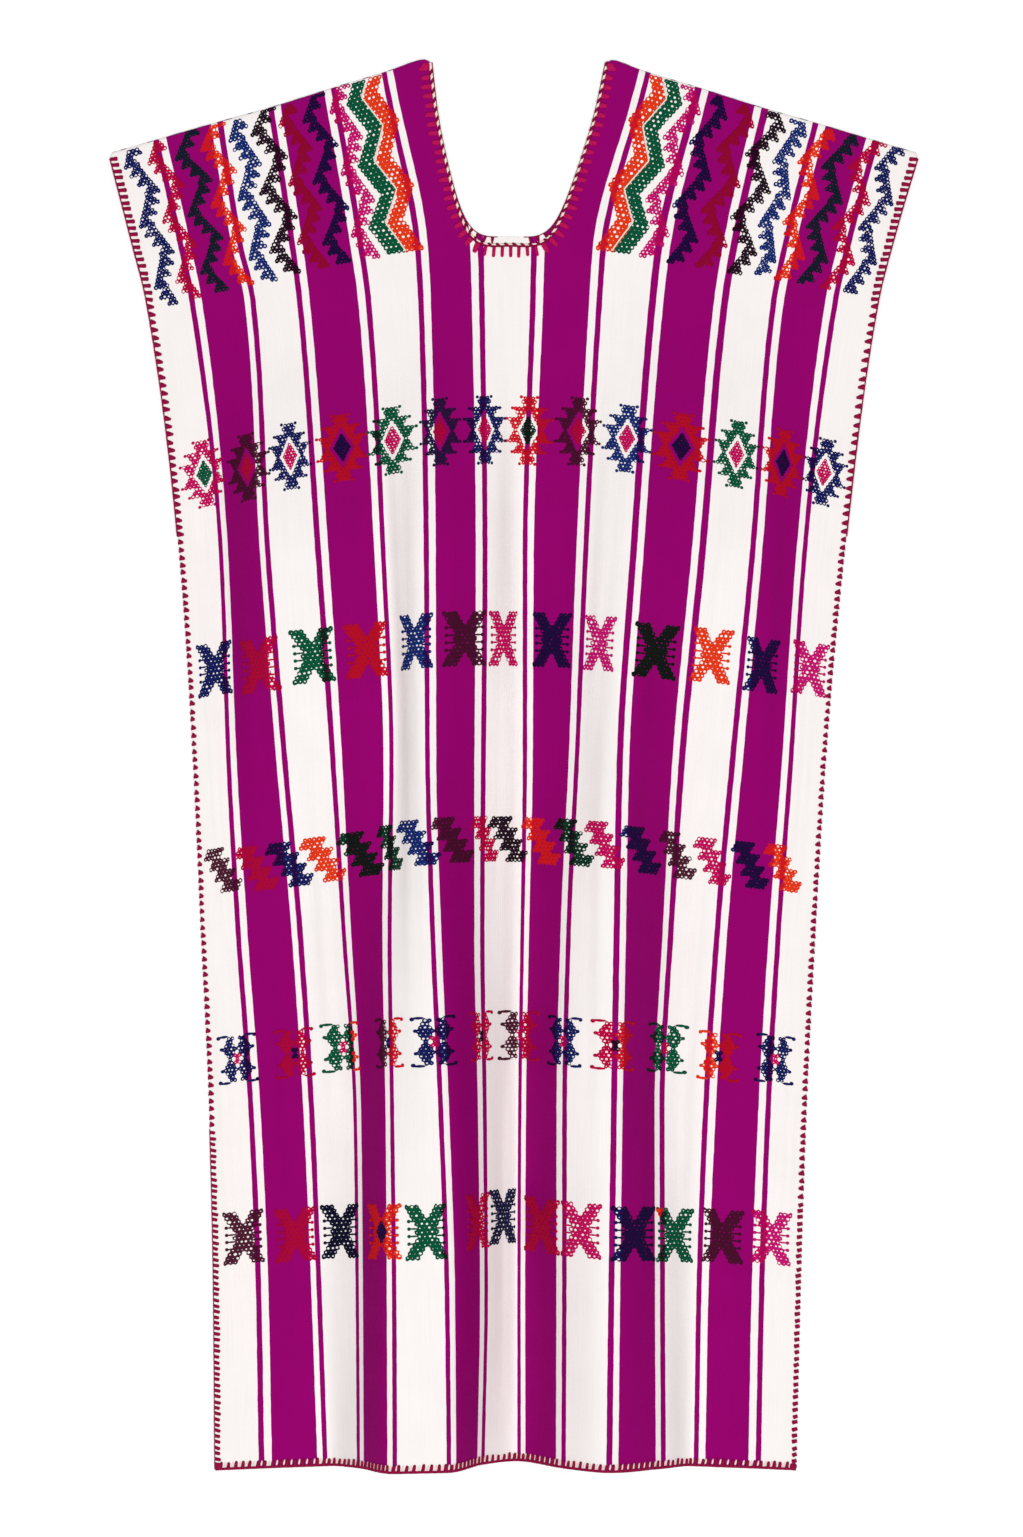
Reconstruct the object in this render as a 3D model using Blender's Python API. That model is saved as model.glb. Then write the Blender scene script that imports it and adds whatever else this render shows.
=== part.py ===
"""Huipil blouse, laid flat.

One striped web, folded at the shoulders, with a neck slot: the front panel lies on the back panel.
Lengths are millimetres here and become metres when a mesh is made. +X is the right of the laid
blouse, +Y runs to the shoulders and +Z is up. The origin is under the middle of the blouse, on
the surface that it lies on.

A point of the cloth has two coordinates. across runs over the web's width from its left selvage.
down runs along the warp from the shoulder fold to the hem.
"""
import bmesh
import bpy
import numpy as np

MM = 0.001

# The cloth
WALL = 1.2           # one layer of brocaded cotton
LAYER_GAP = 0.3      # between the two layers
CLOTH_EASE = 0.05    # how far a band's weave closes up before the band tilts, as a share of its width

# The warp bands of the web from its left selvage, with their flat widths. W is white. M is
# magenta, with the thin stripe pair on each side of it.
BANDS = {
    "W0": 34.0, "M1": 57.0, "W2": 34.5, "M2": 60.0, "W3": 38.0, "M3": 55.0, "WC": 35.5,
    "M4": 59.0, "W5": 37.5, "M5": 64.0, "W6": 35.0, "M6": 55.0, "W7": 33.0,
}
BAND_WIDTHS = np.array(list(BANDS.values()))
BAND_EDGES = np.concatenate([[0.0], np.cumsum(BAND_WIDTHS)])
WEB_WIDTH = BAND_EDGES[-1]

# Cross sections of the laid blouse from shoulders to hem. y is the section's place, left the
# place of the left selvage, then each band's width as seen from above. tilt has one sign per
# band: + climbs to the right, - falls to the right and 0 lies level.
SECTIONS = (
    # y     left    W0    M1    W2    M2    W3    M3    WC    M4    W5    M5    W6    M6    W7   tilt
    (533, -335.0, (37.0, 62.5, 37.0, 58.0, 38.0, 55.5, 91.5, 59.0, 38.5, 63.0, 38.0, 58.0, 36.0), "0000000000000"),
    (417, -304.8, (35.0, 53.0, 36.5, 60.0, 40.0, 55.5, 37.5, 61.0, 39.0, 66.0, 35.5, 55.0, 33.0), "0000000000000"),
    (373, -293.8, (33.0, 54.0, 32.5, 60.0, 37.0, 53.5, 35.5, 58.5, 37.5, 63.5, 34.0, 54.0, 32.0), "0000000000000"),
    (165, -267.0, (30.5, 43.5, 35.0, 56.0, 30.0, 50.0, 28.0, 53.0, 32.5, 60.0, 35.0, 47.0, 30.0), "0+0-+--++-0-0"),
    (5, -256.4, (25.5, 50.5, 33.5, 51.0, 25.0, 47.5, 29.5, 46.0, 29.0, 55.0, 35.5, 51.5, 26.0), "0+00+--++-0-0"),
    (-131, -250.1, (26.5, 54.5, 31.5, 41.5, 29.5, 42.0, 29.0, 41.0, 33.0, 48.5, 33.0, 53.5, 27.5), "0++++--++---0"),
    (-275, -243.4, (30.0, 54.0, 31.5, 34.0, 34.0, 37.0, 25.5, 39.5, 34.0, 43.0, 31.5, 54.5, 28.5), "0++++--++---0"),
    (-419, -240.0, (32.5, 54.0, 28.0, 33.0, 37.5, 33.0, 24.0, 40.0, 32.0, 45.0, 26.5, 54.5, 29.0), "0++++--++---0"),
    (-543, -239.0, (33.5, 56.0, 25.0, 32.5, 38.5, 29.0, 26.5, 39.5, 31.0, 47.0, 24.0, 54.0, 28.5), "0++++--++---0"),
)
SIGNS = {"+": 1.0, "-": -1.0, "0": 0.0}

# Wefts of the web: each hangs from a high middle to lower selvages, by its droop, along a curve
# of the given power. The first is the shoulder fold and the last is the hem.
WEFTS = (
    # down   middle y  droop  power
    (0.0, 571.3, 85.5, 1.0),
    (126.0, 417.0, 42.0, 1.3),
    (268.0, 270.0, 38.0, 1.6),
    (431.0, 102.0, 26.0, 1.6),
    (591.0, -58.0, 26.0, 1.6),
    (747.0, -216.0, 22.0, 1.6),
    (890.0, -360.0, 19.0, 1.6),
    (1080.0, -554.5, 8.0, 1.6),
)
HEM = WEFTS[-1][0]

# The neck slot, a U that widens as it goes down and turns into its bottom as a superellipse
NECK_MIDDLE = 299.5
NECK_TOP = 31.5              # half of its width at the shoulder fold
NECK_SPREAD = 14.0           # how much further out the line of each side leads by the bottom
NECK_DEPTH = 126.2
NECK_POWER = 3.7
FRONT_NECK_INSET = (0.0, 0.0)
BACK_NECK_INSET = (1.5, 6.0)    # the back's slot is cut narrower on each side, and shallower

# Grid steps of the solids
SIDE_BANDS = {"left": ("W0", "M1", "W2", "M2", "W3"), "right": ("W7", "M6", "W6", "M5", "W5")}
SEGMENTS = {"W": 3, "M": 4}    # columns in a white and in a magenta band
NECK_SEGMENTS = 5              # columns from the last of those bands to the neck
NECK_ROWS = 10
BODY_ROWS = 28
PROBE = 0.5    # step for a slope of the cloth


def smooth_curve(knots, values, at):
    """Monotone cubic through the knots. It is level at crests and troughs and straight past its
    ends. values holds one number a knot, or one row a knot with a number for each place in at."""
    knots = np.asarray(knots, float)
    at = np.atleast_1d(np.asarray(at, float))
    values = np.asarray(values, float)
    if values.ndim == 1:
        values = np.repeat(values[:, None], len(at), axis=1)
    step = np.diff(knots)[:, None]
    slope = np.diff(values, axis=0) / step
    before, after = slope[:-1], slope[1:]
    share_before = 2 * step[1:] + step[:-1]
    share_after = step[1:] + 2 * step[:-1]
    turning = before * after <= 0
    safe_before = np.where(turning, 1.0, before)
    safe_after = np.where(turning, 1.0, after)
    mean = (share_before + share_after) / (share_before / safe_before + share_after / safe_after)
    tangent = np.concatenate([slope[:1], np.where(turning, 0.0, mean), slope[-1:]])
    spot = np.clip(np.searchsorted(knots, at, side="right") - 1, 0, len(knots) - 2)
    column = np.arange(len(at))
    width = step[spot, 0]
    full = (at - knots[spot]) / width
    t = np.clip(full, 0.0, 1.0)
    start, end = values[spot, column], values[spot + 1, column]
    leave, reach = tangent[spot, column] * width, tangent[spot + 1, column] * width
    curve = (
        start * (1 + 2 * t) * (1 - t) ** 2
        + leave * t * (1 - t) ** 2
        + end * t ** 2 * (3 - 2 * t)
        - reach * t ** 2 * (1 - t)
    )
    past = full - t
    return curve + past * np.where(past > 0, reach, leave)


def section_heights(seen, tilt):
    """Height of the cloth at each band edge of a section. A tilted band keeps its cloth width, so
    what it loses from above it gains in height. Climbs and falls are evened to meet the surface."""
    drawn = np.array(seen) + CLOTH_EASE * BAND_WIDTHS
    rise = np.sqrt(np.maximum(BAND_WIDTHS ** 2 - drawn ** 2, 0.0))
    sign = np.array([SIGNS[mark] for mark in tilt])
    climbs = rise[sign > 0].sum()
    falls = rise[sign < 0].sum()
    even = np.sqrt(climbs / falls) if falls else 1.0
    steps = np.where(sign > 0, rise / even, -rise * even) * np.abs(sign)
    return np.maximum(np.concatenate([[0.0], np.cumsum(steps)]), 0.0)


def section_tables():
    """Section places from hem to shoulders, with each one's band edges in x and in height."""
    rows = sorted(SECTIONS)
    places = [row[0] for row in rows]
    edges = [row[1] + np.concatenate([[0.0], np.cumsum(row[2])]) for row in rows]
    heights = [section_heights(row[2], row[3]) for row in rows]
    return places, edges, heights


SECTION_Y, SECTION_X, SECTION_Z = section_tables()


def plan_y(across, down):
    """Where a point of the cloth lies along Y."""
    outward = np.abs(2 * across / WEB_WIDTH - 1.0)
    rows = [middle - droop * outward ** power for _, middle, droop, power in WEFTS]
    return smooth_curve([weft[0] for weft in WEFTS], rows, down)


def over_sections(section_values, across, y):
    """A value known at the band edges of each section, for any point of the cloth."""
    rows = [smooth_curve(BAND_EDGES, values, across) for values in section_values]
    return smooth_curve(SECTION_Y, rows, y)


def cloth_points(across, down):
    """Points of the face between the two layers, as rows of x, y and z."""
    y = plan_y(across, down)
    x = over_sections(SECTION_X, across, y)
    z = np.maximum(over_sections(SECTION_Z, across, y), 0.0)
    return np.stack([x, y, z + WALL + LAYER_GAP / 2], axis=1)


def cloth_normals(across, down):
    """Unit normals of that face, upwards."""
    sideways = cloth_points(across + PROBE, down) - cloth_points(across - PROBE, down)
    onwards = cloth_points(across, down + PROBE) - cloth_points(across, down - PROBE)
    normal = np.cross(onwards, sideways)
    return normal / np.linalg.norm(normal, axis=1)[:, None]


def neck_curve(inset):
    """Half of the neck slot from the shoulder fold to its bottom, at even steps: how far each
    point lies from the slot's middle, and how far down."""
    narrower, shallower = inset
    turn = np.linspace(0.0, np.pi / 2, 800)
    share = np.sin(turn) ** (2 / NECK_POWER)
    out = (NECK_TOP - narrower + NECK_SPREAD * share) * np.cos(turn) ** (2 / NECK_POWER)
    down = (NECK_DEPTH - shallower) * share
    run = np.concatenate([[0.0], np.cumsum(np.hypot(np.diff(out), np.diff(down)))])
    marks = np.linspace(0.0, run[-1], NECK_ROWS + 1)
    return np.interp(marks, run, out), np.interp(marks, run, down)


def side_columns(side):
    """Columns of one half that keep clear of the neck, as distances from its selvage."""
    columns = [0.0]
    for name in SIDE_BANDS[side]:
        start = columns[-1]
        count = SEGMENTS[name[0]]
        columns += [start + BANDS[name] * step / count for step in range(1, count + 1)]
    return np.array(columns)


def side_grid(side, inset):
    """Rows of one half's cloth points, from its selvage to the neck edge or, below the neck, to
    the middle. A row beside the neck bends up or down to meet the neck curve."""
    fixed = side_columns(side)
    middle = NECK_MIDDLE if side == "left" else WEB_WIDTH - NECK_MIDDLE
    out, neck_down = neck_curve(inset)
    rows = []
    for row in range(NECK_ROWS + 1):
        inner = middle - out[row]
        reach = np.linspace(fixed[-1], inner, NECK_SEGMENTS + 1)[1:]
        inward = np.concatenate([fixed, reach])
        bend = smooth_step(inward / inner)
        level = NECK_DEPTH * row / NECK_ROWS
        rows.append((inward, level + (neck_down[row] - level) * bend))
    inward = rows[-1][0]
    for row in range(1, BODY_ROWS + 1):
        level = NECK_DEPTH + (HEM - NECK_DEPTH) * row / BODY_ROWS
        rows.append((inward, np.full(len(inward), level)))
    return rows


def smooth_step(share):
    share = np.clip(share, 0.0, 1.0)
    return share ** 2 * (3 - 2 * share)


def panel_grid(inset):
    """The whole panel's cloth points and its triangles, the same way round on every layer so that
    the layers nest. The halves share the middle column below the neck."""
    across, down, index, triangles = [], [], {}, []
    for side in SIDE_BANDS:
        rows = side_grid(side, inset)
        last = len(rows[0][0]) - 1
        for row, (inward, levels) in enumerate(rows):
            for column in range(last + 1):
                if side == "right" and column == last and row >= NECK_ROWS:
                    index[side, row, column] = index["left", row, column]
                    continue
                index[side, row, column] = len(across)
                across.append(inward[column] if side == "left" else WEB_WIDTH - inward[column])
                down.append(levels[column])
        for row in range(len(rows) - 1):
            for column in range(last):
                above, below = index[side, row, column], index[side, row + 1, column]
                below_in, above_in = index[side, row + 1, column + 1], index[side, row, column + 1]
                pair = [(above, below, below_in), (above, below_in, above_in)]
                triangles += pair if side == "left" else [corners[::-1] for corners in pair]
    return np.array(across), np.array(down), triangles


def panel_solid(name, low, high, inset, material):
    """A closed wall of cloth whose faces lie low and high above the face between the layers."""
    across, down, triangles = panel_grid(inset)
    points = cloth_points(across, down)
    normals = cloth_normals(across, down)
    mesh = bpy.data.meshes.new(name)
    build = bmesh.new()
    top = [build.verts.new(spot * MM) for spot in points + normals * high]
    bottom = [build.verts.new(spot * MM) for spot in points + normals * low]
    sides = {(corners[k], corners[(k + 1) % 3]) for corners in triangles for k in range(3)}
    for corners in triangles:
        build.faces.new([top[k] for k in corners])
        build.faces.new([bottom[k] for k in reversed(corners)])
    for first, second in sorted(sides):
        if (second, first) not in sides:
            build.faces.new([bottom[first], bottom[second], top[second], top[first]])
    build.to_mesh(mesh)
    build.free()
    mesh.materials.append(material)
    mesh.shade_smooth()
    mesh.set_sharp_from_angle(angle=np.radians(50))
    panel = bpy.data.objects.new(name, mesh)
    bpy.context.scene.collection.objects.link(panel)
    return panel


def cloth_material(name, colour):
    material = bpy.data.materials.new(name)
    material.use_nodes = True
    shader = material.node_tree.nodes["Principled BSDF"]
    shader.inputs["Base Color"].default_value = (*colour, 1.0)
    shader.inputs["Roughness"].default_value = 0.9
    shader.inputs["Metallic"].default_value = 0.0
    material.diffuse_color = (*colour, 1.0)
    return material


def main():
    for old in list(bpy.data.objects):
        bpy.data.objects.remove(old, do_unlink=True)
    near = LAYER_GAP / 2
    far = near + WALL
    front = cloth_material("front_cloth", (0.36, 0.0, 0.15))
    back = cloth_material("back_cloth", (0.86, 0.84, 0.82))
    panel_solid("front_panel", near, far, FRONT_NECK_INSET, front)
    panel_solid("back_panel", -far, -near, BACK_NECK_INSET, back)


main()
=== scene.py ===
"""Huipil blouse laid flat: the striped web, its brocaded motifs and its blanket stitches.

Lengths are millimetres here and become metres when a mesh is made. A point of the cloth has two
coordinates: across runs over the web's width from its left selvage, and down runs along the warp
from the shoulder fold to the hem. The cloth's form repeats the one in part.py, finer.
"""

import bpy
import numpy as np
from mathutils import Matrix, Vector


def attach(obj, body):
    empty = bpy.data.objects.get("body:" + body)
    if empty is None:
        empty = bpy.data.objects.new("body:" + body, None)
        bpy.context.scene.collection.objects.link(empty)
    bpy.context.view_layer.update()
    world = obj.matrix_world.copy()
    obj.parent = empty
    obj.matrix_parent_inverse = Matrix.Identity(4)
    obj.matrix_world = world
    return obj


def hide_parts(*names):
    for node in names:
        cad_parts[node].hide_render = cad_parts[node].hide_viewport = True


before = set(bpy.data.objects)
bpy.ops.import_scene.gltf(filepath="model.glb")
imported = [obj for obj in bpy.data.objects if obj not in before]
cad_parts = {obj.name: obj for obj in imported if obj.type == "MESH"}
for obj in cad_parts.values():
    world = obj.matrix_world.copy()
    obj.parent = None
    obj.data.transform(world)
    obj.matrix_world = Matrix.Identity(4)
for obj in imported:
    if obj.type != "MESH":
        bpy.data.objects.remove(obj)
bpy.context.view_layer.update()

MM = 0.001
STEP = 0.8                      # mm on the cloth for one pixel of the view from above
VIEW_MIDDLE = (514.0, 766.1)    # the pixel that shows the frame's origin
VIEW_HEIGHT = 1537
CAMERA_AT = (-2.0, -1.9, 4300.0)


def running(steps):
    """Sums so far along steps, from 0."""
    return np.concatenate([[0.0], np.cumsum(steps)])


def paired(first, second):
    """Two lists of numbers as rows of two."""
    return np.stack([first, second], axis=1)


def unit(vectors):
    return vectors / np.linalg.norm(vectors, axis=-1)[..., None]


# ---- the cloth's form, as in part.py
WALL = 1.2
LAYER_GAP = 0.3
CLOTH_EASE = 0.05
BANDS = {
    "W0": 34, "M1": 57, "W2": 34.5, "M2": 60, "W3": 38, "M3": 55, "WC": 35.5,
    "M4": 59, "W5": 37.5, "M5": 64, "W6": 35, "M6": 55, "W7": 33,
}
BAND_WIDTHS = np.array(list(BANDS.values()))
BAND_EDGES = running(BAND_WIDTHS)
WEB_WIDTH = BAND_EDGES[-1]
# Whether each band climbs or falls to the right, or lies level.
LEVEL = "0000000000000"
SWELLING = "0+0-+--++-0-0"
RISING = "0+00+--++-0-0"
FOLDED = "0++++--++---0"
SECTIONS = (
    # y, left edge, each band's width as seen from above, and their slopes
    (533, -335, (37, 62.5, 37, 58, 38, 55.5, 91.5, 59, 38.5, 63, 38, 58, 36), LEVEL),
    (417, -304.8, (35, 53, 36.5, 60, 40, 55.5, 37.5, 61, 39, 66, 35.5, 55, 33), LEVEL),
    (373, -293.8, (33, 54, 32.5, 60, 37, 53.5, 35.5, 58.5, 37.5, 63.5, 34, 54, 32), LEVEL),
    (165, -267, (30.5, 43.5, 35, 56, 30, 50, 28, 53, 32.5, 60, 35, 47, 30), SWELLING),
    (5, -256.4, (25.5, 50.5, 33.5, 51, 25, 47.5, 29.5, 46, 29, 55, 35.5, 51.5, 26), RISING),
    (-131, -250.1, (26.5, 54.5, 31.5, 41.5, 29.5, 42, 29, 41, 33, 48.5, 33, 53.5, 27.5), FOLDED),
    (-275, -243.4, (30, 54, 31.5, 34, 34, 37, 25.5, 39.5, 34, 43, 31.5, 54.5, 28.5), FOLDED),
    (-419, -240, (32.5, 54, 28, 33, 37.5, 33, 24, 40, 32, 45, 26.5, 54.5, 29), FOLDED),
    (-543, -239, (33.5, 56, 25, 32.5, 38.5, 29, 26.5, 39.5, 31, 47, 24, 54, 28.5), FOLDED),
)
SIGNS = {"+": 1.0, "-": -1.0, "0": 0.0}
WEFTS = (
    # down   middle y  droop  power
    (0, 571.3, 85.5, 1),
    (126, 417, 42, 1.3),
    (268, 270, 38, 1.6),
    (431, 102, 26, 1.6),
    (591, -58, 26, 1.6),
    (747, -216, 22, 1.6),
    (890, -360, 19, 1.6),
    (1080, -554.5, 8, 1.6),
)
HEM = WEFTS[-1][0]
NECK_MIDDLE = 299.5
NECK_TOP = 31.5
NECK_SPREAD = 14.0
NECK_DEPTH = 126.2
NECK_POWER = 3.7
FRONT_NECK_INSET = (0.0, 0.0)
BACK_NECK_INSET = (1.5, 6.0)
PROBE = 0.5
CREASE_POWER = 0.8    # below 1, a crease keeps its height nearer to its ends

# Small soft creases along the warp, on top of that form. Each runs from one place across the web
# to another, between two places down it.
CREASES = (
    # across: from, to   down: from, to   half width  height
    (20, 26, 330, 700, 9, 1.6),
    (12, 16, 620, 1010, 8, 1.8),
    (62, 58, 300, 620, 13, 1.5),
    (70, 66, 560, 1000, 12, 2),
    (98, 101, 240, 520, 9, 1.4),
    (112, 106, 470, 820, 8, 1.8),
    (150, 158, 260, 640, 14, 1.8),
    (172, 168, 600, 960, 11, 1.6),
    (196, 201, 200, 470, 8, 1.5),
    (206, 203, 430, 760, 9, 1.7),
    (243, 250, 170, 520, 12, 1.6),
    (287, 291, 160, 430, 7, 1.3),
    (300, 297, 380, 800, 8, 2),
    (306, 303, 760, 1060, 7, 2.2),
    (338, 344, 180, 560, 12, 1.7),
    (388, 383, 210, 520, 9, 1.5),
    (398, 401, 480, 860, 9, 1.8),
    (432, 426, 280, 680, 14, 1.7),
    (450, 447, 640, 980, 11, 1.6),
    (487, 492, 230, 560, 8, 1.5),
    (497, 494, 520, 900, 8, 1.9),
    (532, 538, 300, 640, 12, 1.6),
    (542, 536, 600, 1030, 12, 2),
    (578, 574, 330, 690, 9, 1.6),
    (584, 582, 650, 1020, 8, 1.7),
)


def smooth_curve(knots, values, at):
    """Monotone cubic through the knots. It is level at crests and troughs and straight past its
    ends. values holds one number a knot, or one row a knot with a number for each place in at."""
    knots, values = np.array(knots, float), np.array(values, float)
    at = np.atleast_1d(at)
    if values.ndim == 1:
        values = np.repeat(values[:, None], len(at), axis=1)
    step = np.diff(knots)[:, None]
    slope = np.diff(values, axis=0) / step
    before, after = slope[:-1], slope[1:]
    turning = before * after <= 0
    share_before, share_after = 2 * step[1:] + step[:-1], step[1:] + 2 * step[:-1]
    safe_before, safe_after = (np.where(turning, 1.0, v) for v in (before, after))
    pull = share_before / safe_before + share_after / safe_after
    inner = np.where(turning, 0.0, (share_before + share_after) / pull)
    tangent = np.concatenate([slope[:1], inner, slope[-1:]])
    spot = np.clip(np.searchsorted(knots, at, side="right") - 1, 0, len(knots) - 2)
    column = np.arange(len(at))
    width = step[spot, 0]
    full = (at - knots[spot]) / width
    t = np.clip(full, 0.0, 1.0)
    leave, reach = tangent[spot, column] * width, tangent[spot + 1, column] * width
    curve = (
        values[spot, column] * (1 + 2 * t) * (1 - t) ** 2
        + leave * t * (1 - t) ** 2
        + values[spot + 1, column] * t ** 2 * (3 - 2 * t)
        - reach * t ** 2 * (1 - t)
    )
    past = full - t
    return curve + past * np.where(past > 0, reach, leave)


def section_heights(seen, tilt):
    """Height of the cloth at each band edge of a section, from the width it loses from above."""
    drawn = np.array(seen) + CLOTH_EASE * BAND_WIDTHS
    rise = np.sqrt(np.maximum(BAND_WIDTHS ** 2 - drawn ** 2, 0.0))
    sign = np.array([SIGNS[mark] for mark in tilt])
    climbs = rise[sign > 0].sum()
    falls = rise[sign < 0].sum()
    even = np.sqrt(climbs / falls) if falls else 1.0
    steps = np.where(sign > 0, rise / even, -rise * even) * np.abs(sign)
    return np.maximum(running(steps), 0.0)


SECTION_ROWS = sorted(SECTIONS)
SECTION_Y = [row[0] for row in SECTION_ROWS]
SECTION_X = [row[1] + running(row[2]) for row in SECTION_ROWS]
SECTION_Z = [section_heights(*row[2:]) for row in SECTION_ROWS]


def plan_y(across, down):
    outward = np.abs(2 * across / WEB_WIDTH - 1.0)
    rows = [middle - droop * outward ** power for _, middle, droop, power in WEFTS]
    return smooth_curve([weft[0] for weft in WEFTS], rows, down)


def over_sections(section_values, across, y):
    rows = [smooth_curve(BAND_EDGES, values, across) for values in section_values]
    return smooth_curve(SECTION_Y, rows, y)


def crease_height(across, down):
    height = np.zeros(len(across))
    for start, end, first, last, half_width, high in CREASES:
        share = np.clip((down - first) / (last - first), 0.0, 1.0)
        off = np.clip(np.abs(across - start - (end - start) * share) / half_width, 0.0, 1.0)
        height += high * np.cos(0.5 * np.pi * off) ** 2 * np.sin(np.pi * share) ** CREASE_POWER
    return height


def cloth_points(across, down):
    """Points of the face between the two layers, as rows of x, y and z."""
    across = np.asarray(across, float)
    down = np.asarray(down, float)
    y = plan_y(across, down)
    x = over_sections(SECTION_X, across, y)
    z = np.maximum(over_sections(SECTION_Z, across, y), 0.0) + crease_height(across, down)
    return np.stack([x, y, z + WALL + LAYER_GAP / 2], axis=1)


def cloth_frame(across, down):
    """Unit vectors over the cloth at each point: to the right, towards the hem, and out of it."""
    right = cloth_points(across + PROBE, down) - cloth_points(across - PROBE, down)
    on = cloth_points(across, down + PROBE) - cloth_points(across, down - PROBE)
    return unit(right), unit(on), unit(np.cross(on, right))


FOLD_REACH = 4.6              # how far the soft fold stands out past the line it turns on
NECK_ROUNDING = 9.0           # how far from its ends the fold reaches that far
SELVAGE_ROUNDING = 3.5
TOP = LAYER_GAP / 2 + WALL    # the front's outer face, from the face between the layers


def fold_reach(across):
    """How far the fold stands out, less at the rounded corners by the neck and the selvages."""
    from_neck = (np.abs(across - NECK_MIDDLE) - NECK_TOP) / NECK_ROUNDING
    from_selvage = np.minimum(across, WEB_WIDTH - across) / SELVAGE_ROUNDING
    share = np.clip(np.minimum(from_neck, from_selvage), 0.0, 1.0)
    return TOP + (FOLD_REACH - TOP) * np.sqrt(1 - (1 - share) ** 2)


def over_cloth(across, down, lift):
    """Points above the front's outer face by lift, and the ways out of the cloth there. The three
    may be arrays of any one shape. Down below 0 goes on over the fold at the shoulders."""
    across, down, lift = np.broadcast_arrays(*(np.asarray(v, float) for v in (across, down, lift)))
    spots = across.ravel(), np.maximum(down.ravel(), 0.0)
    _, on, out = cloth_frame(*spots)
    reach = fold_reach(spots[0])[:, None]
    turn = np.maximum(-down.ravel(), 0.0)[:, None] / FOLD_REACH
    points = cloth_points(*spots) + out * TOP * np.cos(turn) - on * reach * np.sin(turn)
    out = out * np.cos(turn) - on * np.sin(turn)
    points = points + out * lift.ravel()[:, None]
    return points.reshape(*across.shape, 3), out.reshape(*across.shape, 3)


def seen_at(points):
    """Where the camera sees points, on the plane of the flat cloth."""
    reach = (CAMERA_AT[2] - TOP) / (CAMERA_AT[2] - points[:, 2])
    middle = np.array(CAMERA_AT[:2])
    return middle + (points[:, :2] - middle) * reach[:, None]


SOLVING_ROUNDS = 40
SOLVING_STRIDE = 25.0    # the most that one round moves a place


def on_cloth(pixels):
    """The cloth coordinates of pixels of the view from above, bettered round by round."""
    goal = (np.array(pixels) - VIEW_MIDDLE) * (STEP, -STEP)
    across = np.clip(goal[:, 0] * 1.05 + 300.0, 5.0, WEB_WIDTH - 5.0)
    down = np.clip(560.0 - goal[:, 1], 5.0, HEM)
    for _ in range(SOLVING_ROUNDS):
        here = seen_at(cloth_points(across, down))
        by_across = (seen_at(cloth_points(across + PROBE, down)) - here) / PROBE
        by_down = (seen_at(cloth_points(across, down + PROBE)) - here) / PROBE
        miss = goal - here
        area = np.cross(by_across, by_down)
        go = np.stack([np.cross(miss, by_down), np.cross(by_across, miss)]) / area
        across, down = (across, down) + np.clip(go, -SOLVING_STRIDE, SOLVING_STRIDE)
    return across, down


# ---- the warp's stripes
# Each magenta band has a thin pair on both sides: a thin magenta stripe and a thin white one.
THIN_STRIPES = {
    # band   left: magenta, white   right: white, magenta
    "M1": (5, 5.6, 5.4, 5),
    "M2": (5.1, 5.7, 5.7, 5.2),
    "M3": (5.2, 5.6, 5.3, 5),
    "M4": (5.2, 5.8, 5.6, 5.3),
    "M5": (5.4, 5.9, 5.9, 5.4),
    "M6": (5, 5.7, 5.4, 5),
}


def stripe_edges():
    """Places across the web where the warp changes colour. It starts white."""
    edges = []
    for name, start, width in zip(BANDS, BAND_EDGES, BAND_WIDTHS):
        if name in THIN_STRIPES:
            left_m, left_w, right_w, right_m = THIN_STRIPES[name]
            end = start + width
            edges += [start, start + left_m, start + left_m + left_w]
            edges += [end - right_m - right_w, end - right_m, end]
    return np.array(edges)


STRIPE_EDGES = stripe_edges()


def on_magenta(across):
    return np.searchsorted(STRIPE_EDGES, across, side="right") % 2 == 1


# ---- colours
def linear(red, green, blue):
    """A colour from 0 to 255 as the shader's linear numbers."""
    share = np.array([red, green, blue]) / 255.0
    return tuple(np.where(share <= 0.04045, share / 12.92, ((share + 0.055) / 1.055) ** 2.4))


WHITE = linear(245, 240, 237)
WHITE_SHADE = linear(239, 233, 231)
MAGENTA = linear(151, 0, 109)
MAGENTA_SHADE = linear(134, 0, 98)
YARNS = {
    # yarn         over white        over magenta
    "navy": ((18, 26, 88), (26, 2, 58)),
    "ink": ((12, 12, 40), (22, 2, 40)),
    "indigo": ((20, 22, 84), (26, 2, 56)),
    "blue": ((18, 40, 108), (30, 6, 74)),
    "slate": ((26, 28, 62), (38, 12, 56)),
    "green": ((0, 82, 54), (12, 30, 22)),
    "forest": ((6, 52, 36), (12, 20, 16)),
    "teal": ((10, 40, 54), (14, 24, 40)),
    "maroon": ((76, 26, 46), (68, 8, 40)),
    "black": ((34, 16, 30), (34, 0, 22)),
    "crimson": ((186, 0, 66), (168, 0, 54)),
    "garnet": ((166, 0, 56), (142, 0, 44)),
    "red": ((206, 20, 40), (178, 6, 34)),
    "orange": ((228, 56, 20), (206, 20, 30)),
    "rose": ((192, 10, 90), (172, 0, 70)),
    "pink": ((196, 16, 112), (176, 0, 84)),
}
PLIED_YARNS = {
    # yarn           colour           painted shade between its plies
    "stitch_yarn": ((162, 3, 70), (114, 2, 50)),
    "neck_yarn": ((196, 9, 92), (158, 4, 72)),
    "edge_yarn": ((150, 4, 60), (104, 2, 46)),
    "cream_yarn": ((250, 236, 222), (232, 212, 196)),
    "fold_yarn": ((104, 84, 104), (64, 44, 66)),
}


def yarn_colour(name, across):
    over_white, over_magenta = (np.array(linear(*tone)) for tone in YARNS[name])
    return np.where(on_magenta(across)[:, None], over_magenta, over_white)


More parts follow.
